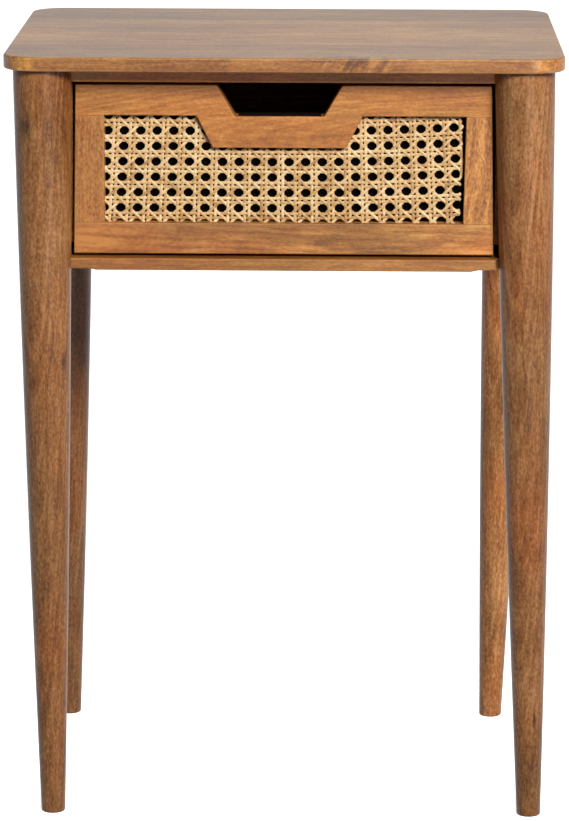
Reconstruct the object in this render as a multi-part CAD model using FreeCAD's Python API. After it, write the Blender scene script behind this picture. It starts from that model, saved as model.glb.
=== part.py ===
import FreeCAD, Part
import math
import os

# A nightstand with one drawer: a thin top on four round tapering legs, a small case hung between
# the legs, and a drawer whose front is a frame around woven cane. Millimetres. The drawer faces
# -Y, +X is to its right, +Z is up, and the origin is on the floor under the middle of the top.

Vector = FreeCAD.Vector

# Overall size and the top.
WIDTH = 450.0
DEPTH = 350.0
HEIGHT = 635.0
TOP_THICKNESS = 11.5
TOP_CORNER = 28.0
TOP_EASE = 1.6

# Legs: turned to a gentle convex curve. Each foot stands a little off plumb, by its lean in X,
# and the front right leg is a little stouter and nearer the middle at its top.
LEG_X = 194.2
LEG_Y = 144.7
LEG_FOOT_R = 9.8
LEG_MID_R = 18.2
LEG_TOP_R = 23.7
LEG_EASE = 1.5
LEG_LEAN = {"front_left": 3.1, "front_right": 12.1, "rear_left": -3.4, "rear_right": -11.6}
LEG_STOUTER = {"front_right": 0.6}
LEG_NEARER = {"front_right": 1.0}

# The case between the legs.
CASE_BOTTOM = 458.5
FLOOR_THICKNESS = 9.8
CASE_FRONT = -146.0
SIDE_IN = 185.0
SIDE_THICKNESS = 15.0
SIDE_END = 133.0
BACK_IN = 137.0
BACK_THICKNESS = 12.0
BACK_END = 182.0
TOP_RAIL_BOTTOM = 611.8
TOP_RAIL_BACK = -128.0
GUIDE_IN = 171.1
GUIDE_FRONT = -127.0
GUIDE_BOTTOM = 478.0
GUIDE_TOP = 608.0
RUNNER_IN = 152.0
RUNNER_OUT = 170.0
RUNNER_THICKNESS = 2.0
RELIEF_START = 152.0
RELIEF_RUN = 6.0
RELIEF_RISE = 1.3
RELIEF_BACK = -112.0
LEG_GAP_START = 171.6
LEG_GAP_DEEP = 9.0
STOP_WIDTH = 20.0
STOP_X = 100.0
STOP_HEIGHT = 40.0
STOP_GAP = 0.5

# The drawer front: a frame that follows the tapering legs, so it is wider at the bottom.
FACE = -137.0
FACE_THICKNESS = 16.0
FACE_BOTTOM = 470.7
FACE_TOP = 608.5
FACE_LEFT_BOTTOM = -170.5
FACE_LEFT_TOP = -168.3
FACE_RIGHT_BOTTOM = 170.0
FACE_RIGHT_TOP = 167.3
WEB_LEFT = -145.2
WEB_RIGHT_BOTTOM = 145.2
WEB_RIGHT_TOP = 147.0
WEB_BOTTOM = 496.0
WEB_TOP = 583.6
EDGE_EASE = 1.0
JOINT_EASE = 0.25

# The finger notch in the top rail and the grip bar that hangs below it.
GRIP_X = -3.7
NOTCH_BOTTOM = 583.4
NOTCH_HALF_TOP = 50.5
NOTCH_HALF_BOTTOM = 36.0
NOTCH_CORNER = 2.5
BAR_BOTTOM = 557.6
BAR_HALF_TOP = 67.0
BAR_HALF_BOTTOM = 54.0
GRIP_LIP = 1.5
GRIP_DROP = 7.5

# Cane webbing in a rebate behind the frame, held by beads.
REBATE = 6.0
REBATE_FRONT = -131.0
CANE_THICKNESS = 1.5
CANE_MARGIN = 5.5

# The drawer box behind the front.
BOX_HALF = 168.0
BOX_WALL = 12.0
BOX_BOTTOM = 470.6
BOX_TOP = 598.0
BOX_BACK = 118.0
INNER_FRONT_THICKNESS = 10.0
INNER_FRONT_TOP = 606.0
PLY_BOTTOM = 478.6
PLY_THICKNESS = 5.0
PLY_GROOVE = 4.0
PLY_FRONT_GROOVE = 5.0
LUG_FRONT = 68.0
LUG_LENGTH = 24.0
LUG_TOP = 622.0

# Fasteners.
SCREW_R = 1.75
SCREW_HEAD_R = 3.5
SMALL_SCREW_R = 1.5
SMALL_SCREW_HEAD_R = 3.0
RECESS_WIDTH = 0.8
RECESS_DEPTH = 1.2
TOP_SCREW = 18.0
SIDE_SCREW = 25.0
FRONT_SCREW = 20.0
BOX_SCREW = 30.0
PLY_SCREW = 16.0
RAIL_DOWEL_R = 3.0
RAIL_DOWEL = 30.0
FLOOR_DOWEL_R = 2.5
FLOOR_DOWEL = 24.0
FRAME_DOWEL = 24.0

TOP_UNDER = HEIGHT - TOP_THICKNESS
FLOOR_TOP = CASE_BOTTOM + FLOOR_THICKNESS
FACE_BACK = FACE + FACE_THICKNESS
INNER_BACK = FACE_BACK + INNER_FRONT_THICKNESS
BOX_IN = BOX_HALF - BOX_WALL
PLY_TOP = PLY_BOTTOM + PLY_THICKNESS
CANE_BACK = REBATE_FRONT + CANE_THICKNESS
SIDES = {"left": -1, "right": 1}
ALONG = {"+X": Vector(1, 0, 0), "-X": Vector(-1, 0, 0), "+Y": Vector(0, 1, 0),
         "-Y": Vector(0, -1, 0), "+Z": Vector(0, 0, 1)}


# Basic shapes.

def block(x_range, y_range, z_range):
    """A board between two values of X, Y and Z, in either order."""
    low = Vector(min(x_range), min(y_range), min(z_range))
    high = Vector(max(x_range), max(y_range), max(z_range))
    size = high - low
    return Part.makeBox(size.x, size.y, size.z, low)


def plate(outline, y_front, y_back):
    """A flat piece with the outline of (x, z) points, from y_front back to y_back."""
    points = [Vector(x, y_front, z) for x, z in outline]
    face = Part.Face(Part.makePolygon(points + points[:1]))
    return face.extrude(Vector(0, y_back - y_front, 0))


def grown(outline, margin):
    """The outline of (x, z) points, counter-clockwise, with every side moved out by margin."""
    out = []
    count = len(outline)
    for i in range(count):
        before = outline[i - 1]
        here = outline[i]
        after = outline[(i + 1) % count]
        turn_in = math.atan2(here[1] - before[1], here[0] - before[0])
        turn_out = math.atan2(after[1] - here[1], after[0] - here[0])
        normal_in = (math.sin(turn_in), -math.cos(turn_in))
        normal_out = (math.sin(turn_out), -math.cos(turn_out))
        scale = margin / (1 + normal_in[0] * normal_out[0] + normal_in[1] * normal_out[1])
        out.append((here[0] + scale * (normal_in[0] + normal_out[0]),
                    here[1] + scale * (normal_in[1] + normal_out[1])))
    return out


def eased(shape, radius, wanted):
    """The shape with a round of the radius on each edge that wanted(edge) picks."""
    edges = [e for e in shape.Edges if wanted(e)]
    return shape.makeFillet(radius, edges)


def flat_at(edge, axis, value):
    """Whether an edge lies wholly in the plane where its X, Y or Z is the value."""
    box = edge.BoundBox
    low = getattr(box, axis + "Min")
    high = getattr(box, axis + "Max")
    return abs(low - value) < 1e-3 and abs(high - value) < 1e-3


def corner_at(edge, x, z):
    """Whether an edge runs along Y through (x, z)."""
    box = edge.BoundBox
    near = abs(box.XMin - x) < 1e-3 and abs(box.ZMin - z) < 1e-3
    return near and box.XLength < 1e-3 and box.ZLength < 1e-3


def placed(shape, at, direction):
    """A shape made at the origin along +Z, turned to the direction and moved to the point."""
    turn = FreeCAD.Rotation(Vector(0, 0, 1), ALONG[direction])
    shape.Placement = FreeCAD.Placement(at, turn)
    return shape


def screw_blank(at, direction, length, shank, head):
    """A countersunk screw with no recess: its head is flush at the point, and it runs inwards."""
    cone = Part.makeCone(head, shank, head - shank)
    point = Part.makeCone(shank, 0.2, shank, Vector(0, 0, length - shank))
    stem = Part.makeCylinder(shank, length - head, Vector(0, 0, head - shank))
    return placed(cone.fuse(stem).fuse(point).removeSplitter(), at, direction)


def screw(at, direction, length, shank, head):
    """A countersunk screw with a cross recess in its head."""
    half = head * 0.55
    bar = Part.makeBox(2 * half, RECESS_WIDTH, RECESS_DEPTH, Vector(-half, -RECESS_WIDTH / 2, 0))
    cross = Part.makeBox(RECESS_WIDTH, 2 * half, RECESS_DEPTH, Vector(-RECESS_WIDTH / 2, -half, 0))
    recess = placed(bar.fuse(cross), at, direction)
    return screw_blank(at, direction, length, shank, head).cut(recess)


def dowel(at, direction, length, radius):
    """A plain wooden dowel that starts at the point."""
    return placed(Part.makeCylinder(radius, length), at, direction)


# Where each set of fasteners sits: (start point, direction).

def top_screw_places():
    x = (GUIDE_IN + SIDE_IN) / 2
    return [(Vector(s * x, y, TOP_RAIL_BOTTOM), "+Z") for s in (-1, 1) for y in (-90, 0, 90)]


def cleat_screw_places():
    z = (TOP_RAIL_BOTTOM + TOP_UNDER) / 2
    return [(Vector(s * GUIDE_IN, y, z), "+X" if s > 0 else "-X")
            for s in (-1, 1) for y in (-50, 50)]


def guide_screw_places():
    z = (GUIDE_BOTTOM + GUIDE_TOP) / 2
    return [(Vector(s * GUIDE_IN, y, z), "+X" if s > 0 else "-X")
            for s in (-1, 1) for y in (-90, 0, 90)]


def top_rail_dowel_places():
    z = (TOP_RAIL_BOTTOM + TOP_UNDER) / 2
    y = (CASE_FRONT + TOP_RAIL_BACK) / 2
    start = LEG_X - LEG_TOP_R - RAIL_DOWEL / 2
    return [(Vector(s * start, y, z), "+X" if s > 0 else "-X") for s in (-1, 1)]


def floor_dowel_places():
    z = CASE_BOTTOM + FLOOR_THICKNESS / 2
    out = []
    for s in (-1, 1):
        direction = "+X" if s > 0 else "-X"
        out.append((Vector(s * (LEG_X - 30), CASE_FRONT + 14, z), direction))
        out += [(Vector(s * (SIDE_IN - FLOOR_DOWEL / 2), y, z), direction) for y in (-80, 0, 80)]
    out += [(Vector(x, BACK_IN - 14, z), "+Y") for x in (-100, 0, 100)]
    return out


def frame_dowel_places():
    y = FACE + FACE_THICKNESS / 2
    out = []
    for x in (WEB_LEFT - 11.8, WEB_RIGHT_TOP + 10.5):
        out += [(Vector(x, y, z - FRAME_DOWEL / 2), "+Z") for z in (WEB_BOTTOM, WEB_TOP)]
    return out


def front_screw_places():
    high = [(Vector(GRIP_X + x, INNER_BACK, 600.0), "-Y") for x in (-138, -75, 75, 138)]
    low = [(Vector(x, INNER_BACK, WEB_BOTTOM - 8.5), "-Y") for x in (-140, -50, 50, 140)]
    return high + low


def box_screw_places():
    ends = (FACE_BACK + INNER_FRONT_THICKNESS / 2, BOX_BACK - BOX_WALL / 2)
    return [(Vector(s * BOX_HALF, y, z), "-X" if s > 0 else "+X")
            for s in (-1, 1) for y in ends for z in (515, 570)]


def ply_screw_places():
    return [(Vector(x, BOX_BACK - BOX_WALL / 2, PLY_BOTTOM), "+Z") for x in (-100, 0, 100)]


def drilled(shape, blanks):
    """The shape with each blank that reaches it cut away, one at a time."""
    for blank in blanks:
        if shape.BoundBox.intersect(blank.BoundBox):
            shape = shape.cut(blank)
    return shape


def large_blanks(places, length):
    return [screw_blank(at, way, length, SCREW_R, SCREW_HEAD_R) for at, way in places]


def large_screws(places, length):
    return [screw(at, way, length, SCREW_R, SCREW_HEAD_R) for at, way in places]


# The top and the legs.

def table_top():
    top = block((-WIDTH / 2, WIDTH / 2), (-DEPTH / 2, DEPTH / 2), (TOP_UNDER, HEIGHT))
    top = eased(top, TOP_CORNER, lambda e: e.BoundBox.ZLength > TOP_THICKNESS - 0.1)
    rims = (TOP_UNDER, HEIGHT)
    top = eased(top, TOP_EASE, lambda e: any(flat_at(e, "Z", z) for z in rims))
    return drilled(top, large_blanks(top_screw_places(), TOP_SCREW))


def turned_leg(x, y, lean, stouter):
    """A leg before its grooves are cut: turned about its own axis, leant, and sawn off level.
    A stouter leg has that much more radius at its top, and half as much halfway up."""
    spare = 3.0
    top_r = LEG_TOP_R + stouter
    mid_r = LEG_MID_R + stouter / 2
    foot = Vector(LEG_FOOT_R, 0, -spare)
    pull = Vector(2 * mid_r - (LEG_FOOT_R + top_r) / 2, 0, TOP_UNDER / 2)
    head = Vector(top_r, 0, TOP_UNDER + spare)
    curve = Part.BezierCurve()
    curve.setPoles([foot, pull, head])
    ends = Part.makePolygon([head, Vector(0, 0, head.z), Vector(0, 0, foot.z), foot])
    section = Part.Face(Part.Wire([curve.toShape()] + ends.Edges))
    leg = section.revolve(Vector(0, 0, 0), Vector(0, 0, 1), 360)
    tilt = math.degrees(math.atan2(lean, TOP_UNDER))
    leg.rotate(Vector(0, 0, TOP_UNDER), Vector(0, 1, 0), -tilt)
    leg.translate(Vector(x, y, 0))
    room = 2 * top_r + abs(lean)
    leg = leg.common(block((x - room, x + room), (y - room, y + room), (0, TOP_UNDER)))
    return eased(leg, LEG_EASE, lambda e: flat_at(e, "Z", 0))


def turned_legs():
    out = {}
    for name, lean in LEG_LEAN.items():
        x = LEG_X - LEG_NEARER.get(name, 0.0)
        y = LEG_Y if name.startswith("rear") else -LEG_Y
        x = x if name.endswith("right") else -x
        out[name] = turned_leg(x, y, lean, LEG_STOUTER.get(name, 0.0))
    return out


# The case.

def side_panel(side):
    s = SIDES[side]
    panel = block((s * SIDE_IN, s * (SIDE_IN + SIDE_THICKNESS)), (-SIDE_END, SIDE_END),
                  (CASE_BOTTOM, TOP_UNDER))
    holes = large_blanks(cleat_screw_places() + guide_screw_places(), SIDE_SCREW)
    return drilled(panel, holes + floor_dowels())


def back_panel():
    panel = block((-BACK_END, BACK_END), (BACK_IN, BACK_IN + BACK_THICKNESS),
                  (CASE_BOTTOM, TOP_UNDER))
    return drilled(panel, floor_dowels())


def front_top_rail(legs):
    rail = block((-LEG_X + 14, LEG_X - 14), (CASE_FRONT, TOP_RAIL_BACK),
                 (TOP_RAIL_BOTTOM, TOP_UNDER))
    rail = eased(rail, EDGE_EASE,
                 lambda e: flat_at(e, "Y", CASE_FRONT) and flat_at(e, "Z", TOP_RAIL_BOTTOM))
    return drilled(rail, legs + top_rail_dowels())


def floor_relief(s):
    """The shallow step planed under each end of the floor's front edge."""
    step = RELIEF_START + RELIEF_RUN
    outline = [(s * RELIEF_START, CASE_BOTTOM), (s * step, CASE_BOTTOM + RELIEF_RISE),
               (s * SIDE_IN, CASE_BOTTOM + RELIEF_RISE), (s * SIDE_IN, CASE_BOTTOM)]
    return plate(outline, CASE_FRONT, RELIEF_BACK)


def bottom_panel(legs):
    """The floor of the case. Its right end is notched wide of the front leg."""
    panel = block((-SIDE_IN, SIDE_IN), (CASE_FRONT, BACK_IN), (CASE_BOTTOM, FLOOR_TOP))
    panel = panel.cut(Part.makeCompound([floor_relief(-1), floor_relief(1)]))
    panel = panel.cut(block((LEG_GAP_START, SIDE_IN), (CASE_FRONT, CASE_FRONT + LEG_GAP_DEEP),
                            (CASE_BOTTOM, FLOOR_TOP)))
    panel = eased(panel, EDGE_EASE,
                  lambda e: flat_at(e, "Y", CASE_FRONT) and e.BoundBox.XLength > 1)
    return drilled(panel, legs + floor_dowels())


def drawer_guide(side, legs):
    s = SIDES[side]
    guide = block((s * GUIDE_IN, s * SIDE_IN), (GUIDE_FRONT, SIDE_END), (GUIDE_BOTTOM, GUIDE_TOP))
    return drilled(guide, legs + large_blanks(guide_screw_places(), SIDE_SCREW))


def top_cleat(side, legs):
    s = SIDES[side]
    cleat = block((s * GUIDE_IN, s * SIDE_IN), (TOP_RAIL_BACK, SIDE_END),
                  (TOP_RAIL_BOTTOM, TOP_UNDER))
    holes = large_blanks(top_screw_places(), TOP_SCREW)
    holes += large_blanks(cleat_screw_places(), SIDE_SCREW)
    return drilled(cleat, legs + holes)


def drawer_runner(side):
    s = SIDES[side]
    return block((s * RUNNER_IN, s * RUNNER_OUT), (GUIDE_FRONT, LEG_Y - LEG_TOP_R - 1),
                 (FLOOR_TOP, FLOOR_TOP + RUNNER_THICKNESS))


def drawer_stop(side):
    x = SIDES[side] * STOP_X
    middle = (PLY_TOP + BOX_TOP) / 2
    return block((x - STOP_WIDTH / 2, x + STOP_WIDTH / 2), (BOX_BACK + STOP_GAP, BACK_IN),
                 (middle - STOP_HEIGHT / 2, middle + STOP_HEIGHT / 2))


def top_rail_dowels():
    return [dowel(at, way, RAIL_DOWEL, RAIL_DOWEL_R) for at, way in top_rail_dowel_places()]


def floor_dowels():
    return [dowel(at, way, FLOOR_DOWEL, FLOOR_DOWEL_R) for at, way in floor_dowel_places()]


# The drawer front.

def web_outline():
    """The opening that shows the cane: a rectangle with the grip bar hanging into it."""
    return [(WEB_LEFT, WEB_BOTTOM), (WEB_RIGHT_BOTTOM, WEB_BOTTOM), (WEB_RIGHT_TOP, WEB_TOP),
            (GRIP_X + BAR_HALF_TOP, WEB_TOP), (GRIP_X + BAR_HALF_BOTTOM, BAR_BOTTOM),
            (GRIP_X - BAR_HALF_BOTTOM, BAR_BOTTOM), (GRIP_X - BAR_HALF_TOP, WEB_TOP),
            (WEB_LEFT, WEB_TOP)]


def notch_outline():
    """The notch's slanting sides and flat bottom, run on past the top of the rail."""
    over = 10.0
    slope = (NOTCH_HALF_TOP - NOTCH_HALF_BOTTOM) / (FACE_TOP - NOTCH_BOTTOM)
    wide = NOTCH_HALF_TOP + slope * over
    return [(GRIP_X - NOTCH_HALF_BOTTOM, NOTCH_BOTTOM), (GRIP_X + NOTCH_HALF_BOTTOM, NOTCH_BOTTOM),
            (GRIP_X + wide, FACE_TOP + over), (GRIP_X - wide, FACE_TOP + over)]


def notch(y_front, y_back):
    """The finger notch as a solid to cut away, with its bottom corners rounded."""
    solid = plate(notch_outline(), y_front, y_back)
    corners = [GRIP_X - NOTCH_HALF_BOTTOM, GRIP_X + NOTCH_HALF_BOTTOM]
    return eased(solid, NOTCH_CORNER,
                 lambda e: any(corner_at(e, x, NOTCH_BOTTOM) for x in corners))


def grip_undercut():
    """The slope cut behind the notch's lip, so that fingers curl down behind the bar."""
    lip = FACE + GRIP_LIP
    half = NOTCH_HALF_BOTTOM - NOTCH_CORNER
    points = [Vector(GRIP_X - half, lip, NOTCH_BOTTOM), Vector(GRIP_X - half, FACE_BACK, NOTCH_BOTTOM),
              Vector(GRIP_X - half, FACE_BACK, NOTCH_BOTTOM - GRIP_DROP)]
    face = Part.Face(Part.makePolygon(points + points[:1]))
    return face.extrude(Vector(2 * half, 0, 0))


def front_frame():
    """The whole drawer front before it is parted into rails and stiles."""
    outline = [(FACE_LEFT_BOTTOM, FACE_BOTTOM), (FACE_RIGHT_BOTTOM, FACE_BOTTOM),
               (FACE_RIGHT_TOP, FACE_TOP), (FACE_LEFT_TOP, FACE_TOP)]
    frame = plate(outline, FACE, FACE_BACK)
    frame = frame.cut(plate(web_outline(), FACE - 1, FACE_BACK + 1))
    frame = frame.cut(notch(FACE - 1, FACE_BACK + 1))
    rounded = [(GRIP_X + s * BAR_HALF_BOTTOM, BAR_BOTTOM) for s in (-1, 1)]
    rounded += [(GRIP_X + s * NOTCH_HALF_TOP, FACE_TOP) for s in (-1, 1)]
    frame = eased(frame, NOTCH_CORNER, lambda e: any(corner_at(e, x, z) for x, z in rounded))
    frame = eased(frame, EDGE_EASE, lambda e: flat_at(e, "Y", FACE))
    rebate = plate(grown(web_outline(), REBATE), REBATE_FRONT, FACE_BACK + 1)
    frame = frame.cut(rebate).cut(grip_undercut())
    return drilled(frame, frame_dowels() + large_blanks(front_screw_places(), FRONT_SCREW))


def front_pieces():
    """The top rail with its grip bar, the bottom rail, and the two stiles between them."""
    frame = front_frame()
    deep = (FACE - 1, FACE_BACK + 1)
    far = WIDTH / 2
    bar_zone = block((WEB_LEFT + 10, WEB_RIGHT_BOTTOM - 10), deep, (BAR_BOTTOM - 1, WEB_TOP))
    zones = {
        "drawer_top_rail": block((-far, far), deep, (WEB_TOP, HEIGHT)).fuse(bar_zone),
        "drawer_bottom_rail": block((-far, far), deep, (CASE_BOTTOM, WEB_BOTTOM)),
        "drawer_stile_left": block((-far, WEB_LEFT + 1), deep, (WEB_BOTTOM, WEB_TOP)),
        "drawer_stile_right": block((WEB_RIGHT_BOTTOM - 1, far), deep, (WEB_BOTTOM, WEB_TOP)),
    }
    pieces = {name: frame.common(zone).removeSplitter() for name, zone in zones.items()}
    for name in ("drawer_stile_left", "drawer_stile_right"):
        ends = (WEB_BOTTOM, WEB_TOP)
        pieces[name] = eased(pieces[name], JOINT_EASE,
                             lambda e: flat_at(e, "Y", FACE) and any(flat_at(e, "Z", z) for z in ends))
    return pieces


def cane_webbing():
    return plate(grown(web_outline(), CANE_MARGIN), REBATE_FRONT, CANE_BACK)


def cane_beads():
    """One mitred strip along each side of the opening, filling the rebate behind the cane."""
    inner = web_outline()
    outer = grown(inner, REBATE)
    names = ["bottom", "right", "top_right", "bar_right", "bar_bottom", "bar_left", "top_left",
             "left"]
    out = {}
    for i, name in enumerate(names):
        j = (i + 1) % len(inner)
        out["bead_" + name] = plate([inner[i], outer[i], outer[j], inner[j]], CANE_BACK, FACE_BACK)
    return out


def frame_dowels():
    return [dowel(at, way, FRAME_DOWEL, RAIL_DOWEL_R) for at, way in frame_dowel_places()]


# The drawer box.

def drawer_inner_front():
    board = block((-BOX_IN, BOX_IN), (FACE_BACK, INNER_BACK), (BOX_BOTTOM, INNER_FRONT_TOP))
    board = board.cut(notch(FACE_BACK - 1, INNER_BACK + 1)).cut(drawer_bottom())
    holes = large_blanks(front_screw_places(), FRONT_SCREW)
    return drilled(board, holes + large_blanks(box_screw_places(), BOX_SCREW))


def drawer_side(side):
    s = SIDES[side]
    board = block((s * BOX_IN, s * BOX_HALF), (FACE_BACK, BOX_BACK), (BOX_BOTTOM, BOX_TOP))
    return drilled(board.cut(drawer_bottom()), large_blanks(box_screw_places(), BOX_SCREW))


def drawer_bottom():
    half = BOX_IN + PLY_GROOVE
    return block((-half, half), (INNER_BACK - PLY_FRONT_GROOVE, BOX_BACK), (PLY_BOTTOM, PLY_TOP))


def ply_blanks():
    return [screw_blank(at, way, PLY_SCREW, SMALL_SCREW_R, SMALL_SCREW_HEAD_R)
            for at, way in ply_screw_places()]


def drawer_back():
    board = block((-BOX_IN, BOX_IN), (BOX_BACK - BOX_WALL, BOX_BACK), (PLY_TOP, BOX_TOP))
    return drilled(board, ply_blanks() + large_blanks(box_screw_places(), BOX_SCREW))


def drawer_lug(side):
    s = SIDES[side]
    lug = block((s * BOX_IN, s * BOX_HALF), (LUG_FRONT, LUG_FRONT + LUG_LENGTH), (BOX_TOP, LUG_TOP))
    return eased(lug, 1.5, lambda e: flat_at(e, "Z", LUG_TOP))


# Everything, node by node.

def build():
    legs = turned_legs()
    leg_list = list(legs.values())
    pieces = {"table_top": table_top(), "back_panel": back_panel(),
              "front_top_rail": front_top_rail(leg_list), "bottom_panel": bottom_panel(leg_list)}
    for side in SIDES:
        pieces["side_panel_" + side] = side_panel(side)
        pieces["drawer_guide_" + side] = drawer_guide(side, leg_list)
        pieces["top_cleat_" + side] = top_cleat(side, leg_list)
        pieces["drawer_runner_" + side] = drawer_runner(side)
        pieces["drawer_stop_" + side] = drawer_stop(side)
        pieces["drawer_side_" + side] = drawer_side(side)
        pieces["drawer_lug_" + side] = drawer_lug(side)
    housed = [pieces["side_panel_left"], pieces["side_panel_right"], pieces["back_panel"]]
    for name, leg in legs.items():
        pieces["leg_" + name] = drilled(leg, housed + top_rail_dowels() + floor_dowels())
    pieces.update(front_pieces())
    pieces.update(cane_beads())
    pieces["cane_webbing"] = cane_webbing()
    pieces["drawer_inner_front"] = drawer_inner_front()
    pieces["drawer_back"] = drawer_back()
    pieces["drawer_bottom"] = drilled(drawer_bottom(), ply_blanks())
    groups = {
        "top_screws": large_screws(top_screw_places(), TOP_SCREW),
        "cleat_screws": large_screws(cleat_screw_places(), SIDE_SCREW),
        "guide_screws": large_screws(guide_screw_places(), SIDE_SCREW),
        "drawer_front_screws": large_screws(front_screw_places(), FRONT_SCREW),
        "drawer_box_screws": large_screws(box_screw_places(), BOX_SCREW),
        "drawer_bottom_screws": [screw(at, way, PLY_SCREW, SMALL_SCREW_R, SMALL_SCREW_HEAD_R)
                                 for at, way in ply_screw_places()],
        "top_rail_dowels": top_rail_dowels(),
        "bottom_panel_dowels": floor_dowels(),
        "drawer_frame_dowels": frame_dowels(),
    }
    for name, solids in groups.items():
        pieces[name] = Part.makeCompound(solids)
    return pieces


def save(pieces):
    os.makedirs("parts", exist_ok=True)
    for name, shape in pieces.items():
        solids = shape.Solids
        kept = solids[0] if len(solids) == 1 else Part.makeCompound(solids)
        kept.exportStep("parts/" + name + ".step")
        print(name, len(solids), kept.isValid(), round(sum(s.Volume for s in solids)))


save(build())
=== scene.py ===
import math

import bpy
import numpy as np
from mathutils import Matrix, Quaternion, Vector


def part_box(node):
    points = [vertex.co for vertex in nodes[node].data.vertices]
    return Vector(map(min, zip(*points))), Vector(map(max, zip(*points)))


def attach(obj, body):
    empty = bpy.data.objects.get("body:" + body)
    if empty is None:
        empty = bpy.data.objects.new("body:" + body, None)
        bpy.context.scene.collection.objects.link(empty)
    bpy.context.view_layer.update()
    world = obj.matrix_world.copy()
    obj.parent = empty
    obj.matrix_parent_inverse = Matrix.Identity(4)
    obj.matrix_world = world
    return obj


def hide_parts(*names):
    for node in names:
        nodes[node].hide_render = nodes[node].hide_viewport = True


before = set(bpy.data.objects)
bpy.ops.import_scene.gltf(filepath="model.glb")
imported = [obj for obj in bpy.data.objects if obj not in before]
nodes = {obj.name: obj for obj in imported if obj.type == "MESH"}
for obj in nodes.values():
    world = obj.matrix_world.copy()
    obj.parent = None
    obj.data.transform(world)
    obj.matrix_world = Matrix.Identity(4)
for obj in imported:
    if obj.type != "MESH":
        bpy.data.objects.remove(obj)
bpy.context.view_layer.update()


# Camera: a long lens on a stand three metres off, a little right of the middle and above the top.
# It looks slightly down.

TURN = math.radians(-1.03)
DOWN = math.radians(12.24)
ROLL = math.radians(0.15)
STAND = (0.0584, -3.331, 1.034)
FOCAL = 175.1
camera_data = bpy.data.cameras.new("camera")
camera_data.sensor_width = 36.0
camera_data.sensor_fit = "AUTO"
camera_data.lens = FOCAL
camera_data.clip_end = 60.0
camera = bpy.data.objects.new("camera", camera_data)
bpy.context.scene.collection.objects.link(camera)
camera.location = STAND
ahead = Vector((math.sin(TURN) * math.cos(DOWN), math.cos(TURN) * math.cos(DOWN), -math.sin(DOWN)))
aimed = ahead.to_track_quat("-Z", "Y") @ Quaternion((0, 0, 1), ROLL)
camera.rotation_euler = aimed.to_euler()
bpy.context.scene.camera = camera
bpy.context.scene.view_settings.view_transform = "Standard"


# Floor and light: a pale floor that glows like a light table, less so in a round patch before the
# furniture, with its glow kept off the wood. A wide soft box and a low strip stand front right, the
# strip seen only in the varnish, and a weak box far right. The surround is brightest at the back.

def put(tree, kind, settings=None, **inputs):
    """Adds a shader node, sets its properties, and sets or links the inputs named. An input is
    named by its label, or by i and its number."""
    made = tree.nodes.new("ShaderNode" + kind)
    for key, value in (settings or {}).items():
        setattr(made, key, value)
    for key, value in inputs.items():
        socket = made.inputs[int(key[1:])] if key[0] == "i" and key[1:].isdigit() else made.inputs[key]
        if isinstance(value, bpy.types.NodeSocket):
            tree.links.new(value, socket)
        else:
            socket.default_value = value
    return made


def spread(tree, value, low, high, to_low=0.0, to_high=1.0, kind="LINEAR"):
    """The value's run from low to high, moved to another run and held at its ends."""
    return put(tree, "MapRange", {"interpolation_type": kind}, **{
        "Value": value, "From Min": low, "From Max": high, "To Min": to_low,
        "To Max": to_high}).outputs["Result"]


def new_material(name):
    """An empty node material and its tree."""
    made = bpy.data.materials.new(name)
    made.use_nodes = True
    made.node_tree.nodes.clear()
    return made, made.node_tree


def finish_material(tree, **inputs):
    """One Principled surface with these inputs, joined to the output."""
    surface = put(tree, "BsdfPrincipled", **inputs)
    out = tree.nodes.new("ShaderNodeOutputMaterial")
    tree.links.new(surface.outputs["BSDF"], out.inputs["Surface"])


def new_piece(name, vertices, faces, smooth=True):
    """A mesh object from lists of vertices and faces, placed at the origin."""
    mesh = bpy.data.meshes.new(name)
    mesh.from_pydata(vertices, [], faces)
    mesh.update()
    mesh.polygons.foreach_set("use_smooth", [smooth] * len(mesh.polygons))
    made = bpy.data.objects.new(name, mesh)
    bpy.context.scene.collection.objects.link(made)
    return made


def soft_light(name, place, aim, width, height, power):
    """A flat soft box at a place, turned to face the aim point."""
    data = bpy.data.lights.new(name, "AREA")
    data.shape = "RECTANGLE"
    data.size = width
    data.size_y = height
    data.energy = power
    lamp = bpy.data.objects.new(name, data)
    lamp.location = place
    lamp.rotation_euler = (Vector(aim) - Vector(place)).to_track_quat("-Z", "Y").to_euler()
    bpy.context.scene.collection.objects.link(lamp)
    return lamp


FLOOR_REACH = 14.0
FLOOR_GREY = (0.9, 0.9, 0.9, 1)
DIM_MIDDLE = (0, -1.7, 0)
DIM_IN = 1.3
DIM_OUT = 1.9
DIM_GLOW = 0.55
FULL_GLOW = 1.0
floor_corners = [(-FLOOR_REACH, -FLOOR_REACH, 0), (FLOOR_REACH, -FLOOR_REACH, 0),
                 (FLOOR_REACH, FLOOR_REACH, 0), (-FLOOR_REACH, FLOOR_REACH, 0)]
floor = new_piece("studio_floor", floor_corners, [(0, 1, 2, 3)], smooth=False)
pale_floor, tree = new_material("pale_floor")
haze = put(tree, "TexNoise", Scale=3.0, Detail=3.0).outputs["Fac"]
spot = put(tree, "TexCoord").outputs["Object"]
away = put(tree, "VectorMath", {"operation": "DISTANCE"}, i0=spot, i1=DIM_MIDDLE).outputs["Value"]
floor_shine = spread(tree, haze, 0, 1, 0.6, 0.7)
floor_glow = spread(tree, away, DIM_IN, DIM_OUT, DIM_GLOW, FULL_GLOW)
finish_material(tree, **{"Base Color": FLOOR_GREY, "Roughness": floor_shine,
                         "Emission Color": (1, 1, 1, 1), "Emission Strength": floor_glow})
floor.data.materials.append(pale_floor)
floor.visible_diffuse = False

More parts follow.
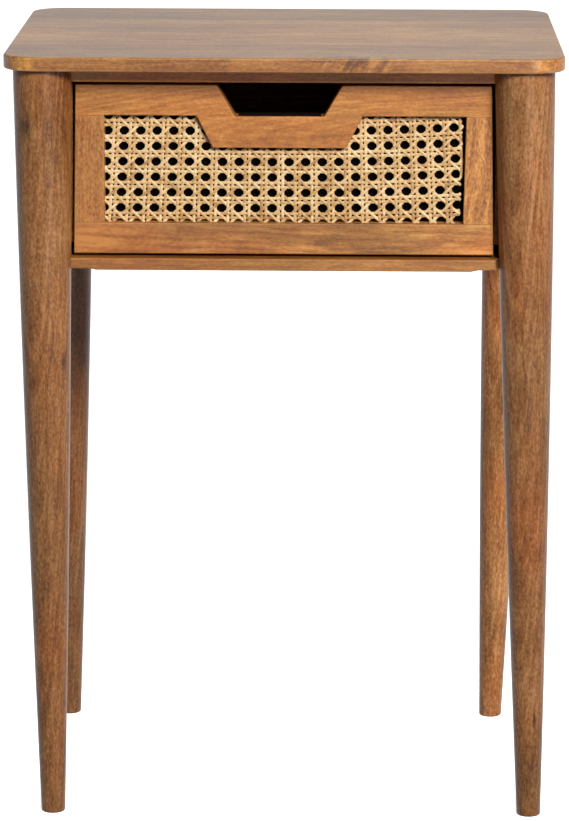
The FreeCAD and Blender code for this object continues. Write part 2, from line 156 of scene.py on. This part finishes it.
SUBJECT = (0, -0.12, 0.42)
GLOW_FROM = 0.3
GLOW_TO = 0.95
FRONT_GLOW = 0.06
BACK_GLOW = 1.05
soft_light("front_box", (0.95, -2.75, 1.95), SUBJECT, 1.2, 0.8, 155)
soft_light("side_box", (2.6, -0.7, 1.2), SUBJECT, 0.9, 1.6, 8)
low_strip = soft_light("low_strip", (1.15, -2.75, 0.55), SUBJECT, 0.22, 1.0, 14)
low_strip.visible_diffuse = False
studio = bpy.data.worlds.new("studio")
studio.use_nodes = True
tree = studio.node_tree
direction = put(tree, "TexCoord").outputs["Generated"]
depth = put(tree, "SeparateXYZ", Vector=direction).outputs["Y"]
glow = spread(tree, depth, GLOW_FROM, GLOW_TO, FRONT_GLOW, BACK_GLOW, "SMOOTHSTEP")
tree.links.new(glow, tree.nodes["Background"].inputs["Strength"])
tree.nodes["Background"].inputs["Color"].default_value = (1, 1, 1, 1)
bpy.context.scene.world = studio


# Top: a thin solid board glued up from four staves, its corners rounded and its edges eased,
# screwed from below. Every board and leg is the same hardwood, with soft growth rings, fine fibre
# and short pores under a satin varnish, so its wood is made here.

def calc(tree, operation, a, b=0.0, c=0.0):
    """One step of arithmetic."""
    return put(tree, "Math", {"operation": operation}, i0=a, i1=b, i2=c).outputs[0]


def vector(tree, operation, a, b):
    """One step of vector arithmetic."""
    return put(tree, "VectorMath", {"operation": operation}, i0=a, i1=b).outputs["Vector"]


def scaled(tree, value, factor):
    """A colour or a place times one number."""
    return put(tree, "VectorMath", {"operation": "SCALE"}, i0=value, Scale=factor).outputs[0]


def parted(tree, value):
    """The three numbers in a place or a colour."""
    return put(tree, "SeparateXYZ", Vector=value).outputs


def noise(tree, place, stretch, detail=2.0, roughness=0.5):
    """Noise whose cells are 1 / stretch metres long on each axis."""
    return put(tree, "TexNoise", Vector=vector(tree, "MULTIPLY", place, stretch), Scale=1.0,
               Detail=detail, Roughness=roughness)


def weighed(tree, parts):
    """A half, plus each pattern's departure from a half times its weight."""
    total = 0.5
    for pattern, weight in parts:
        total = calc(tree, "MULTIPLY_ADD", calc(tree, "SUBTRACT", pattern, 0.5), weight, total)
    return total


def ramp(tree, value, stops):
    """A colour ramp with (position, colour) stops."""
    made = put(tree, "ValToRGB", Fac=value)
    elements = made.color_ramp.elements
    while len(elements) < len(stops):
        elements.new(0.5)
    for element, (position, colour) in zip(elements, stops):
        element.position = position
        element.color = (*colour, 1)
    return made.outputs["Color"]


def tinted(tree, mode, amount, under, over):
    """A colour laid over another by an amount, mixed or multiplied."""
    made = put(tree, "Mix", {"data_type": "RGBA", "blend_type": mode}, i0=amount)
    for index, value in ((6, under), (7, over)):
        if isinstance(value, bpy.types.NodeSocket):
            tree.links.new(value, made.inputs[index])
        else:
            made.inputs[index].default_value = (*value, 1)
    return made.outputs[2]


EDGE_RAGS = (160, 160, 160)
KNOT_RAGS = (260, 260, 260)


def edge_wear(tree, place, corners, reach):
    """1 on the edges of a box-shaped board, falling to 0 at the reach from them. The distance to
    an edge is the second smallest of the distances to the three nearest faces."""
    low, high = corners
    near = vector(tree, "MINIMUM", vector(tree, "SUBTRACT", place, tuple(low)),
                  vector(tree, "SUBTRACT", tuple(high), place))
    x, y, z = parted(tree, near)
    least = calc(tree, "MINIMUM", x, y)
    other = calc(tree, "MINIMUM", calc(tree, "MAXIMUM", x, y), z)
    second = calc(tree, "MAXIMUM", least, other)
    ragged = noise(tree, place, EDGE_RAGS).outputs["Fac"]
    away = calc(tree, "MULTIPLY_ADD", ragged, reach * 0.8, second)
    return spread(tree, away, reach * 0.3, reach * 1.4, 1.0, 0.0)


def knot_core(tree, place, centre, reach):
    """1 at a knot's centre, falling to 0 on a ragged egg shape of that reach on each axis."""
    apart = vector(tree, "SUBTRACT", place, centre)
    apart = vector(tree, "DIVIDE", apart, reach)
    length = put(tree, "VectorMath", {"operation": "LENGTH"}, i0=apart).outputs["Value"]
    ragged = noise(tree, place, KNOT_RAGS).outputs["Fac"]
    length = calc(tree, "MULTIPLY_ADD", calc(tree, "SUBTRACT", ragged, 0.5), 0.9, length)
    return spread(tree, length, 0.15, 1.0, 1.0, 0.0, "SMOOTHSTEP")


GRAIN_TURN = {"X": (0, math.radians(-90), 0), "Y": (math.radians(90), 0, 0), "Z": (0, 0, 0)}
WOOD_TONES = ((0.16, 0.050, 0.009), (0.345, 0.130, 0.026), (0.56, 0.26, 0.07))

# How many cells each pattern in the wood has in a metre, twice across the grain and once along it,
# then how much the patterns weigh beside each other.
DRIFT_CELLS = (9, 9, 3.5)
FIBRE_CELLS = (420, 420, 9)
STREAK_CELLS = (330, 330, 40)
SPECKLE_CELLS = (640, 640, 300)
MOTTLE_CELLS = (90, 90, 24)
PATCH_CELLS = (15, 15, 5.5)
PORE_CELLS = (900, 900, 150)
CAST_CELLS = (22, 22, 8)
STROKE_CELLS = (330, 60, 70)
FIBRE_SHARE = 0.32
STREAK_SHARE = 0.42
MOTTLE_SHARE = 0.4
PATCH_SHARE = 0.55

TONE_STOPS = (0.24, 0.5, 0.78)
GRAIN_DRIFT = (0.03, 0.03, 0.03)
RING_DRIFT = (0.016, 0.016, 0.016)
KNOT_SWELL = 0.012
REDDENED = (1.05, 0.86, 0.72)
REDDENED_RUN = (0.46, 0.64)
WEATHERED = (0.78, 0.87, 0.88)
WEATHERED_RUN = (0.48, 0.66)
PORE_SHADE = (0.34, 0.25, 0.2)
PORE_RUN = (0.64, 0.72)
PORE_DEPTH = 0.32
STAVE_SHIFT = 0.7
STAVE_TONES = (0.8, 1.16)
KNOT_SHADE = (0.16, 0.12, 0.10)
SEAM_SHADE = (0.3, 0.2, 0.13)
SEAM_HALF = 0.0006
JOINT_SHADE = (0.25, 0.17, 0.12)
JOINT_REACH = 0.0009
SHEEN_GREY_TINT = (0.72, 0.74, 0.66)
WEAR_REACH = 0.0018
WEAR_PALE = 0.3
WEAR_DULL = 0.1
SHEEN_GREY_DEPTHS = (0.0012, 0.0002)
SEAM_DEPTH = 0.6
JOINT_DEPTH = 0.75
SHINE_SWING = 0.16
STROKE_SLANT = math.radians(-32)
STROKE_MEAN = 0.56
STROKE_STRENGTH = 1.5


def toned(factor, green=1.0, blue=1.0):
    """The three tones of the wood, made lighter or darker, and turned a little in hue."""
    return [(r * factor, g * factor * green, b * factor * blue) for r, g, b in WOOD_TONES]


def growth_rings(tree, place, pith, tilt, ring_gap, cores):
    """Noise of the distance from a slanting pith line, over the ring gap. The line passes through
    the pith point and leans by the tilt, and each knot swells the rings around it."""
    x, y, z = parted(tree, place)
    out_x = calc(tree, "ADD", calc(tree, "MULTIPLY_ADD", z, -tilt[0], x), -pith[0])
    out_y = calc(tree, "ADD", calc(tree, "MULTIPLY_ADD", z, -tilt[1], y), -pith[1])
    radius = calc(tree, "SQRT", calc(tree, "ADD", calc(tree, "MULTIPLY", out_x, out_x),
                                     calc(tree, "MULTIPLY", out_y, out_y)))
    for core, _ in cores:
        radius = calc(tree, "MULTIPLY_ADD", core, KNOT_SWELL, radius)
    count = calc(tree, "DIVIDE", radius, ring_gap)
    return put(tree, "TexNoise", {"noise_dimensions": "1D"}, W=count, Scale=1.0, Detail=2.0,
               Roughness=0.6).outputs["Fac"]


def slanting_strokes(tree, place, centre, reach):
    """Short slanting strokes in the grain around a centre, which add to its mix or take from it."""
    slant = put(tree, "Mapping", Vector=place, Rotation=(0, STROKE_SLANT, 0)).outputs[0]
    strokes = noise(tree, slant, STROKE_CELLS, 2.0).outputs["Fac"]
    strokes = calc(tree, "MULTIPLY", calc(tree, "SUBTRACT", strokes, STROKE_MEAN), STROKE_STRENGTH)
    return calc(tree, "MULTIPLY", knot_core(tree, place, centre, reach), strokes)


def wood(name, along, seed, corners=None, tones=WOOD_TONES, gloss=0.42, varnish=0.38,
         ring_gap=0.005, pith=None, tilt=(0.03, 0.05), figure=0.35, streaked=1.0, speckled=0.5,
         blotched=1.0, staves=0.0, knots=(), strokes=None, fade=None, joint_ends=False,
         sheen_greyed_top=False):
    """A varnished board or leg with its grain along one axis. The departure of the growth rings
    from their mean is added to that of long fibre, speckle, mottling and patches, and the sum runs
    through the dark, middle and light tones. Soft blotches redden or weather it, noise above a
    threshold makes the pores, and knots are dark. A glued-up board takes a shift and a tone for
    each stave and a dark seam between them. Edges are worn pale, and the ends of a joint dark."""
    made, tree = new_material(name)
    place = put(tree, "TexCoord").outputs["Object"]
    turned = put(tree, "Mapping", Vector=place, Rotation=GRAIN_TURN[along]).outputs[0]
    cores = [(knot_core(tree, place, centre, reach), depth) for centre, reach, depth in knots]
    if staves:
        count = calc(tree, "MULTIPLY", parted(tree, turned)[1], 1 / staves)
        number = calc(tree, "ADD", calc(tree, "FLOOR", count), seed)
        chance = put(tree, "TexWhiteNoise", {"noise_dimensions": "1D"}, W=number)
        turned = vector(tree, "ADD", turned, scaled(tree, chance.outputs["Color"], STAVE_SHIFT))
    shift = (0.31 * seed % 1.7, 0.53 * seed % 1.3, 0.97 * seed % 2.1)
    moved = vector(tree, "ADD", turned, shift)
    drift = noise(tree, moved, DRIFT_CELLS, 3.0).outputs["Color"]
    drift = vector(tree, "SUBTRACT", drift, (0.5, 0.5, 0.5))
    grained = vector(tree, "ADD", moved, vector(tree, "MULTIPLY", drift, GRAIN_DRIFT))
    ringed = vector(tree, "ADD", turned, vector(tree, "MULTIPLY", drift, RING_DRIFT))
    if pith is None:
        pith = (0.11 + 0.05 * math.sin(seed), -0.24 + 0.04 * math.cos(seed))

    rings = growth_rings(tree, ringed, pith, tilt, ring_gap, cores)
    fibre = noise(tree, grained, FIBRE_CELLS, 4.0, 0.62).outputs["Fac"]
    streak = noise(tree, grained, STREAK_CELLS, 2.0).outputs["Fac"]
    speckle = noise(tree, grained, SPECKLE_CELLS, 3.0, 0.65).outputs["Fac"]
    mottle = noise(tree, grained, MOTTLE_CELLS, 3.0, 0.6).outputs["Fac"]
    patch = noise(tree, moved, PATCH_CELLS, 2.0).outputs["Fac"]
    mix = weighed(tree, [(rings, figure), (fibre, FIBRE_SHARE * streaked),
                         (streak, STREAK_SHARE * streaked), (speckle, speckled),
                         (mottle, MOTTLE_SHARE * streaked), (patch, PATCH_SHARE)])
    if strokes:
        mix = calc(tree, "ADD", mix, slanting_strokes(tree, place, *strokes))
    colour = ramp(tree, mix, list(zip(TONE_STOPS, tones)))
    if fade:
        colour = scaled(tree, colour, spread(tree, parted(tree, place)[0], *fade, "SMOOTHSTEP"))
    cast = noise(tree, grained, CAST_CELLS, 3.0).outputs["Color"]
    red, grey, _ = parted(tree, cast)
    reddened = spread(tree, red, *REDDENED_RUN, 0.0, 0.9 * blotched)
    colour = tinted(tree, "MULTIPLY", reddened, colour, REDDENED)
    weathered = spread(tree, grey, *WEATHERED_RUN, 0.0, 0.8 * blotched)
    colour = tinted(tree, "MULTIPLY", weathered, colour, WEATHERED)

    pore = spread(tree, noise(tree, grained, PORE_CELLS, 1.0).outputs["Fac"], *PORE_RUN)
    colour = tinted(tree, "MULTIPLY", calc(tree, "MULTIPLY", pore, PORE_DEPTH), colour, PORE_SHADE)
    for core, depth in cores:
        colour = tinted(tree, "MULTIPLY", calc(tree, "MULTIPLY", core, depth), colour, KNOT_SHADE)
    if staves:
        colour = scaled(tree, colour, spread(tree, chance.outputs["Value"], 0, 1, *STAVE_TONES))
        away = calc(tree, "ABSOLUTE", calc(tree, "SUBTRACT", calc(tree, "FRACT", count), 0.5))
        seam = spread(tree, away, 0.5 - SEAM_HALF / staves, 0.5, 0.0, SEAM_DEPTH)
        colour = tinted(tree, "MULTIPLY", seam, colour, SEAM_SHADE)
    shine = calc(tree, "MULTIPLY_ADD", fibre, SHINE_SWING, gloss - SHINE_SWING / 2)
    height = parted(tree, place)[2]
    # Painted light: only the upper face of the top is greyed and darkened, to give it the grey-tan look
    # of its grazing sheen under the light from above.
    if sheen_greyed_top:
        starts, ends = (corners[1].z - depth for depth in SHEEN_GREY_DEPTHS)
        upper = spread(tree, height, starts, ends)
        colour = tinted(tree, "MULTIPLY", upper, colour, SHEEN_GREY_TINT)
    if corners:
        wear = edge_wear(tree, place, corners, WEAR_REACH)
        colour = tinted(tree, "MIX", calc(tree, "MULTIPLY", wear, WEAR_PALE), colour, tones[2])
        shine = calc(tree, "MULTIPLY_ADD", wear, WEAR_DULL, shine)
    if joint_ends:
        near = calc(tree, "MINIMUM", calc(tree, "SUBTRACT", height, corners[0].z),
                    calc(tree, "SUBTRACT", corners[1].z, height))
        joint = spread(tree, near, 0.0, JOINT_REACH, JOINT_DEPTH, 0.0)
        colour = tinted(tree, "MULTIPLY", joint, colour, JOINT_SHADE)
    relief = weighed(tree, [(fibre, 0.5), (pore, -0.7)])
    bump = put(tree, "Bump", Height=relief, Strength=0.2, Distance=0.0005).outputs[0]
    finish_material(tree, **{"Base Color": colour, "Roughness": shine, "Normal": bump,
                             "Specular IOR Level": varnish})
    return made


def dress(node, material):
    """Gives a carried-over part its material."""
    part = nodes[node]
    part.data.materials.clear()
    part.data.materials.append(material)


top_low, top_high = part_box("table_top")
STAVE = (top_high.y - top_low.y) / 4
edge_knot = ((0.057, top_low.y, top_high.z - 0.002), (0.016, 0.012, 0.005), 0.45)
edge_strokes = ((0.062, top_low.y, top_low.z + 0.006), (0.05, 0.03, 0.02))
dress("table_top", wood("top_wood", "X", 3.0, (top_low, top_high), tones=toned(1.3, 1.06),
                        gloss=0.38, varnish=0.45, ring_gap=0.006, speckled=0.8, blotched=0.35,
                        staves=STAVE, knots=[edge_knot], strokes=edge_strokes, sheen_greyed_top=True))


# Legs: four turned legs, thick under the top and slender at the floor, of darker and more speckled
# wood. The rear right leg is given a paler tone and the rear left leg a darker one. Each knot is its
# centre, its reach on each axis and its depth.

LEG_TONE = {"front_left": 0.64, "front_right": 0.64, "rear_left": 0.48, "rear_right": 1.1}
LEG_X = 0.1942
LEG_Y = 0.1447
PITH_RIGHT = 0.045
PITH_BACK = 0.075
leg_knots = {
    "front_left": [((-0.207, -0.163, 0.577), (0.006, 0.03, 0.013), 0.7),
                   ((-0.178, -0.155, 0.385), (0.003, 0.012, 0.015), 0.8)],
    "front_right": [((0.2085, -0.1555, 0.085), (0.0022, 0.012, 0.012), 0.85)],
    "rear_left": [((-0.182, 0.125, 0.33), (0.006, 0.02, 0.011), 0.6)],
    "rear_right": [((0.20, 0.165, 0.42), (0.006, 0.01, 0.012), 0.7)],
}
for number, (name, knots) in enumerate(leg_knots.items()):
    side = -1 if name.endswith("left") else 1
    front = -1 if name.startswith("front") else 1
    dress("leg_" + name, wood("leg_wood_" + name, "Z", 5.3 + 2.7 * number,
                              tones=toned(LEG_TONE[name], 1.06, 1.6), gloss=0.36, varnish=0.18,
                              ring_gap=0.0026, tilt=(0.05, 0.06), speckled=0.95, knots=knots,
                              pith=(side * LEG_X - PITH_RIGHT, front * LEG_Y - PITH_BACK)))


# Case: side panels, back, floor and front rail, housed in the legs, with the guides, cleats,
# runners and stops inside. The boards run level, and the inner ones have a duller finish.

for number, (name, along, tone) in enumerate((
        ("side_panel_left", "Y", 0.9), ("side_panel_right", "Y", 0.95), ("back_panel", "X", 0.9),
        ("bottom_panel", "X", 0.76), ("front_top_rail", "X", 1.2))):
    dress(name, wood("case_wood_" + name, along, 17.9 + 1.9 * number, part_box(name),
                     tones=toned(tone, 0.95, 0.85)))
for number, name in enumerate(("drawer_guide_left", "drawer_guide_right", "top_cleat_left",
                               "top_cleat_right", "drawer_runner_left", "drawer_runner_right",
                               "drawer_stop_left", "drawer_stop_right")):
    dress(name, wood("inner_wood_" + name, "Y", 41.3 + 1.3 * number, gloss=0.6))


# Drawer front: two rails and two stiles, dowelled flush, the upper rail cut away for the fingers.
# The upper rail is sawn across slanting growth rings, which show only faintly. The lower rail pales
# to the right.

dress("drawer_top_rail", wood("drawer_wood_top_rail", "X", 61.7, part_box("drawer_top_rail"),
                              pith=(-0.562, -0.1784), tilt=(0.0, 0.12), ring_gap=0.0018,
                              figure=0.32, streaked=0.8, speckled=0.55,
                              tones=toned(0.97, 0.91, 0.72)))
dress("drawer_bottom_rail", wood("drawer_wood_bottom_rail", "X", 64.0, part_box("drawer_bottom_rail"),
                                 tones=toned(0.9), figure=0.25, streaked=1.35,
                                 fade=(-0.12, 0.12, 0.8, 1.12)))
for number, (name, tone) in enumerate((("drawer_stile_left", 0.78), ("drawer_stile_right", 1.03))):
    dress(name, wood("drawer_wood_" + name, "Z", 66.3 + 2.3 * number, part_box(name),
                     joint_ends=True, speckled=1.05, tones=toned(tone)))


# Cane: strips of cane skin woven six ways, in upright and level pairs with two slanting sets that
# pass beside each round hole. The web is stretched in the frame, cut short at its right edge, and
# held behind by beads.

# The web: from hole to hole, a pair's half spacing, the strands, and how finely they are cut.
PITCH_X = 0.01352
PITCH_Z = 0.0126
HOLE_X = -0.13125
HOLE_Z = 0.5326
PAIR_HALF = 0.00175
STRAND_WIDTH = 0.0023
SLANT_WIDTH = 0.0022
STRAND_THICK = 0.0005
PAIR_RISE = 0.00028
SLANT_RISE = 0.00055
STEPS_A_PITCH = 8
RING = 8
COLUMNS = 22
ROWS = 9
ROWS_BELOW = 3.5
FRAYED = 0.0005
CUT_SLACK = 0.001
CORNERED = 0.7

# How it sits in the frame: its stretch, its cut right end, and the grip bar that covers it.
SPREAD_DOWN = 0.4
RISE_RIGHT = 0.0037
WEB_END = 0.139
CUT_LOW = 0.1423
CUT_SLANT = 0.018
BAR_X = -0.0037
BAR_LOW = 0.5631
BAR_HALF = 0.0508
BAR_SLOPE = 0.5
cane_low, cane_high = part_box("cane_webbing")
CANE_Y = (cane_low.y + cane_high.y) / 2
random = np.random.default_rng(4)
node_x = HOLE_X + PITCH_X * (np.arange(-1, COLUMNS) - 0.5)
node_z = HOLE_Z + PITCH_Z * (np.arange(-1, ROWS) - ROWS_BELOW)


def stretched(x, z):
    """The web as it was pulled into the frame: its uprights spread towards the bottom, and its
    level rows rise with the square of the distance towards the right end."""
    rise = RISE_RIGHT * (np.maximum(x, 0) / WEB_END) ** 2
    return x * (1 + SPREAD_DOWN * (HOLE_Z - z)), z + rise


def weave(distance):
    """Over one strand of a pair and under the other: one wave of the sine across the pair."""
    return -np.sin(np.pi * np.clip(distance / (2 * PAIR_HALF), -1, 1))


def cane_set(name, x, z, height, across, width):
    """One set of strands. x, z and height are grids of strand by step along it. The section is a
    flat strip with rounded edges: across the strand goes half its width times the cosine of the
    turn to the power CORNERED, and out of the web half its thickness times the sine. Strands are left
    out past the opening, behind the grip bar and beyond the slanting, frayed cut on the right."""
    px, pz = stretched(x, z)
    cut = CUT_LOW + CUT_SLANT * (pz - cane_low.z) + FRAYED * random.random((len(x), 1))
    in_bar = (pz > BAR_LOW) & (np.abs(px - BAR_X) < BAR_HALF + (pz - BAR_LOW) * BAR_SLOPE)
    keep = (px > cane_low.x) & (px < cut + CUT_SLACK) & (pz > cane_low.z) & (pz < cane_high.z) & ~in_bar
    px = np.minimum(px, cut)
    turn = np.arange(RING) * 2 * np.pi / RING
    side = np.sign(np.cos(turn)) * np.abs(np.cos(turn)) ** CORNERED * width / 2
    front = -np.sin(turn) * STRAND_THICK / 2
    vx = px[..., None] + across[0] * side
    vz = pz[..., None] + across[1] * side
    vy = CANE_Y - height[..., None] + front + 0 * vx
    vertices = np.stack([vx, vy, vz], -1).reshape(-1, 3)
    count, length = x.shape
    ring = np.arange(count * length * RING).reshape(count, length, RING)
    after = np.roll(ring, -1, axis=2)
    joined = keep[:, :-1] & keep[:, 1:]
    quads = np.stack([ring[:, :-1], after[:, :-1], after[:, 1:], ring[:, 1:]], -1)[joined]
    quads = quads.reshape(-1, 4)
    starts = joined.copy()
    starts[:, 1:] &= ~joined[:, :-1]
    ends = joined.copy()
    ends[:, :-1] &= ~joined[:, 1:]
    caps = np.concatenate([ring[:, :-1][starts][:, ::-1], ring[:, 1:][ends]])
    used = np.unique(quads)
    slot = np.zeros(len(vertices), int)
    slot[used] = np.arange(len(used))
    piece = new_piece(name, vertices[used].tolist(), slot[quads].tolist() + slot[caps].tolist())
    tone = np.repeat(random.random(count), length * RING)[used]
    piece.data.attributes.new("tone", "FLOAT", "POINT").data.foreach_set("value", tone)
    return piece


climb = np.arange(STEPS_A_PITCH * ROWS + 1) / STEPS_A_PITCH * PITCH_Z + node_z[0]
upright_x = (node_x[:, None] + np.array([-PAIR_HALF, PAIR_HALF])).ravel()
sign = np.tile([1.0, -1.0], len(node_x))
gap = (climb - node_z[0] + PITCH_Z / 2) % PITCH_Z - PITCH_Z / 2
x, z = np.broadcast_arrays(upright_x[:, None], climb[None, :])
uprights = cane_set("cane_uprights", x, z, PAIR_RISE * sign[:, None] * weave(gap)[None, :],
                    (1.0, 0.0), STRAND_WIDTH)

run = np.arange(STEPS_A_PITCH * COLUMNS + 1) / STEPS_A_PITCH * PITCH_X + node_x[0]
level_z = (node_z[:, None] + np.array([-PAIR_HALF, PAIR_HALF])).ravel()
sign = np.tile([-1.0, 1.0], len(node_z))
gap = (run - node_x[0] + PITCH_X / 2) % PITCH_X - PITCH_X / 2
x, z = np.broadcast_arrays(run[None, :], level_z[:, None])
levels = cane_set("cane_levels", x, z, PAIR_RISE * sign[:, None] * weave(gap)[None, :],
                  (0.0, 1.0), STRAND_WIDTH)

slants = []
step = np.arange(STEPS_A_PITCH * ROWS + 1) / STEPS_A_PITCH
tilt = math.hypot(PITCH_X, PITCH_Z)
for name, lean in (("cane_rising", 1), ("cane_falling", -1)):
    first = np.arange(-ROWS - 1, COLUMNS + ROWS + 1) + 0.5
    phase = first[:, None] + lean * step[None, :]
    x = node_x[0] + PITCH_X * phase
    z = node_z[0] + PITCH_Z * step[None, :] + 0 * x
    slants.append(cane_set(name, x, z, lean * SLANT_RISE * np.cos(2 * np.pi * phase),
                           (PITCH_Z / tilt, -lean * PITCH_X / tilt), SLANT_WIDTH))

CANE_DARK = (0.28, 0.13, 0.04)
CANE_MIDDLE = (0.52, 0.31, 0.12)
CANE_LIGHT = (0.74, 0.54, 0.30)
cane_skin, tree = new_material("cane_skin")
place = put(tree, "TexCoord").outputs["Object"]
tone = put(tree, "Attribute", {"attribute_name": "tone"}).outputs["Fac"]
streak = noise(tree, place, (900, 900, 900)).outputs["Fac"]
patch = noise(tree, place, (150, 150, 150), 3.0, 0.6).outputs["Fac"]
shade = weighed(tree, [(tone, 0.35), (streak, 0.7), (patch, 0.8)])
colour = ramp(tree, shade, [(0.2, CANE_DARK), (0.45, CANE_MIDDLE), (0.8, CANE_LIGHT)])
bump = put(tree, "Bump", Height=streak, Strength=0.2, Distance=0.0002).outputs[0]
finish_material(tree, **{"Base Color": colour, "Normal": bump,
                         "Roughness": spread(tree, patch, 0, 1, 0.45, 0.65),
                         "Specular IOR Level": 0.3})
for piece in (uprights, levels, *slants):
    piece.data.materials.append(cane_skin)
    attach(piece, "drawer")
    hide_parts("cane_webbing")


# Beads behind the cane, and the drawer box: plain planed wood, screwed together, with an inner
# front coloured near black: partly a black stain on the board and partly painted shade, far darker
# than a stain, so that the holes in the cane look dark.

for number, name in enumerate(n for n in nodes if n.startswith("bead_")):
    along = "X" if name.split("_")[-1] == "bottom" or "top" in name else "Z"
    dress(name, wood("inner_wood_" + name, along, 81.7 + 1.1 * number, gloss=0.6))
for number, (name, along) in enumerate((("drawer_side_left", "Y"), ("drawer_side_right", "Y"),
                                        ("drawer_back", "X"), ("drawer_lug_left", "Y"),
                                        ("drawer_lug_right", "Y"), ("drawer_bottom", "X"))):
    dress(name, wood("inner_wood_" + name, along, 95.1 + 1.7 * number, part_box(name), gloss=0.6))

# Painted shade: the inner front's colour is darker than any real stain and stands in for the shade
# behind the cane.
BOARD_SHADE_DARK = (0.0022, 0.0012, 0.0010)
BOARD_SHADE_LIGHT = (0.006, 0.0035, 0.003)
black_board_and_painted_shade, tree = new_material("black_board_and_painted_shade")
place = put(tree, "TexCoord").outputs["Object"]
fibre = noise(tree, place, (7, 380, 380), 4.0, 0.6).outputs["Fac"]
colour = ramp(tree, fibre, [(0.3, BOARD_SHADE_DARK), (0.8, BOARD_SHADE_LIGHT)])
bump = put(tree, "Bump", Height=fibre, Strength=0.2, Distance=0.0004).outputs[0]
finish_material(tree, **{"Base Color": colour, "Roughness": 0.8, "Normal": bump,
                         "Specular IOR Level": 0.05})
dress("drawer_inner_front", black_board_and_painted_shade)


# Fasteners: countersunk screws of steel passivated to a pale yellow, and plain wooden dowels glued
# into the joints.

STEEL_DULL = (0.42, 0.36, 0.2)
STEEL_BRIGHT = (0.62, 0.58, 0.45)
passivated_steel, tree = new_material("passivated_steel")
place = put(tree, "TexCoord").outputs["Object"]
cloud = noise(tree, place, (300, 300, 300), 3.0).outputs["Fac"]
colour = ramp(tree, cloud, [(0.3, STEEL_DULL), (0.7, STEEL_BRIGHT)])
finish_material(tree, **{"Base Color": colour, "Metallic": 1.0,
                         "Roughness": spread(tree, cloud, 0, 1, 0.25, 0.45)})
dowel_wood = wood("dowel_wood", "X", 120.3, gloss=0.6)
for name in nodes:
    if name.endswith("_screws"):
        dress(name, passivated_steel)
    if name.endswith("_dowels"):
        dress(name, dowel_wood)
